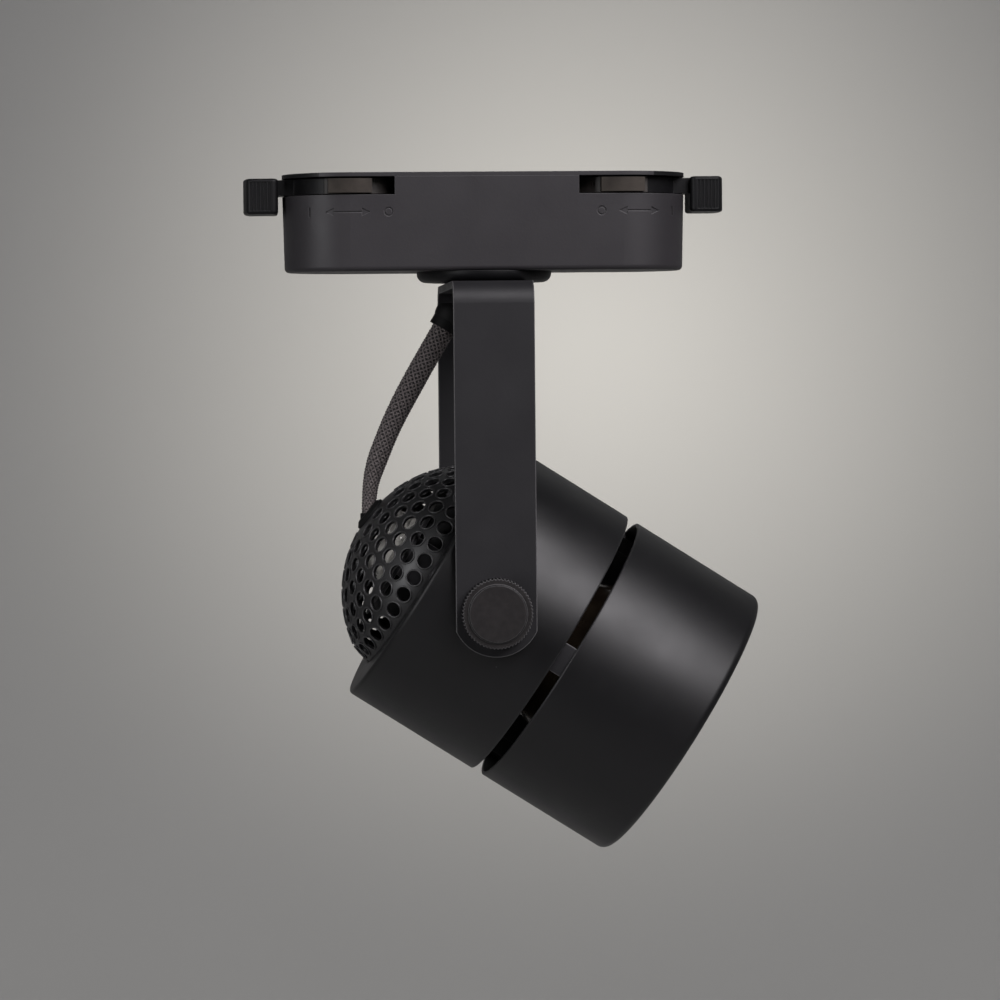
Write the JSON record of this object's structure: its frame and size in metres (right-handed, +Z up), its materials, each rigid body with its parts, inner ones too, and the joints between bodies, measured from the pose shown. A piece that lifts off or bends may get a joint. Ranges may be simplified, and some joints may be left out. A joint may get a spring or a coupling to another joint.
{
  "type": "track spotlight",
  "caption": "Track spotlight: end-lever track adapter, swivelling U yoke, knob-clamped tilting barrel head in two spaced shells with a perforated rear dome, and a braided lead.",
  "frame": {"origin": "centre of the adapter's top face, where it meets the track", "axes": "+X along the adapter towards the side the head's mouth points to, -Y towards the side with the lever slots, +Z up out of the track face"},
  "size_m": [0.1423, 0.101, 0.188],
  "materials": {
    "adapter_grey": "fine-textured moulded",
    "black_plastic": "moulded, satin",
    "rotor_plastic": "moulded",
    "contact_brass": "stamped",
    "tongue_metal": "dull, tarnished",
    "terminal_plastic": "moulded",
    "zinc_steel": "zinc plated",
    "black_steel": "satin powder coat",
    "black_barrel": "satin paint",
    "black_mesh": "satin paint",
    "black_rubber": "moulded",
    "braid": "braided sleeve",
    "porcelain": "glazed white",
    "lamp_glass": "reflector coated",
    "lens_glass": "pressed",
    "lamp_metal": "rolled",
    "lamp_insulator": "vitrite"
  },
  "bodies": {
    "adapter": {"adapter_housing": "adapter_grey", "adapter_cover": "adapter_grey", "swivel_collar": "black_plastic", "terminal_block": "terminal_plastic", "terminal_screw_near": "zinc_steel", "terminal_screw_far": "zinc_steel", "end_pad_left": "black_plastic", "end_pad_right": "black_plastic", "feed_spring_left": "contact_brass", "feed_spring_right": "contact_brass", "cover_screw_near": "zinc_steel", "cover_screw_far": "zinc_steel"},
    "left_lever": {"lock_lever_left": "black_plastic", "contact_rotor_left": "rotor_plastic", "contact_tongue_left": "tongue_metal"},
    "right_lever": {"lock_lever_right": "black_plastic", "contact_rotor_right": "rotor_plastic", "contact_tongue_right": "tongue_metal"},
    "yoke": {"yoke_bracket": "black_steel", "swivel_stem": "zinc_steel", "stop_washer": "zinc_steel", "stem_nut": "zinc_steel", "yoke_nut": "zinc_steel", "lead_boot": "black_rubber", "lead": "braid"},
    "head": {"rear_shell": "black_barrel", "rear_rim": "black_barrel", "dome_ring": "black_mesh", "front_shell": "black_barrel", "shell_strap_1": "black_steel", "shell_strap_2": "black_steel", "shell_strap_3": "black_steel", "vent_dome": "black_mesh", "dome_gland": "black_rubber", "holder_bracket": "black_steel", "holder_body": "black_plastic", "holder_terminal": "porcelain", "holder_sleeve": "contact_brass", "holder_contact": "contact_brass", "bracket_rivet_near": "black_steel", "bracket_rivet_far": "black_steel", "holder_screw_near": "zinc_steel", "holder_screw_far": "zinc_steel", "pivot_nut_near": "zinc_steel", "pivot_nut_far": "zinc_steel", "friction_washer_near": "black_rubber", "friction_washer_far": "black_rubber", "terminal_pin_lower": "contact_brass", "terminal_pin_upper": "contact_brass"},
    "near_knob": {"knob_cap_near": "black_plastic", "knob_screw_near": "zinc_steel"},
    "far_knob": {"knob_cap_far": "black_plastic", "knob_screw_far": "zinc_steel"},
    "lamp": {"lamp_reflector": "lamp_glass", "lamp_lens": "lens_glass", "lamp_base": "lamp_metal", "lamp_insulator": "lamp_insulator", "lamp_contact": "lamp_metal"}
  },
  "joints": [
    {"name": "yoke_swivel", "type": "hinge", "parent": "adapter", "child": "yoke", "pos_m": [0, 0, -0.0285], "axis": [0, 0, 1], "range_deg": [-168, 168]},
    {"name": "head_tilt", "type": "hinge", "parent": "yoke", "child": "head", "pos_m": [0, 0, -0.1195], "axis": [0, 1, 0], "range_deg": [-7.5, 57.5], "deforming": ["lead"]},
    {"name": "left_lever_turn", "type": "hinge", "parent": "adapter", "child": "left_lever", "pos_m": [-0.0375, 0, -0.004], "axis": [0, 0, 1], "range_deg": [0, 90]},
    {"name": "right_lever_turn", "type": "hinge", "parent": "adapter", "child": "right_lever", "pos_m": [0.0375, 0, -0.004], "axis": [0, 0, 1], "range_deg": [-90, 0]},
    {"name": "near_knob_turn", "type": "hinge", "parent": "head", "child": "near_knob", "pos_m": [0, -0.0475, -0.1195], "axis": [0, 1, 0], "range_deg": [0, 360]},
    {"name": "far_knob_turn", "type": "hinge", "parent": "head", "child": "far_knob", "pos_m": [0, 0.0475, -0.1195], "axis": [0, 1, 0], "range_deg": [0, 360]},
    {"name": "lamp_removal", "type": "slide", "parent": "head", "child": "lamp", "axis": [0.8434, 0, -0.5373], "range_m": [0, 0.1]}
  ]
}
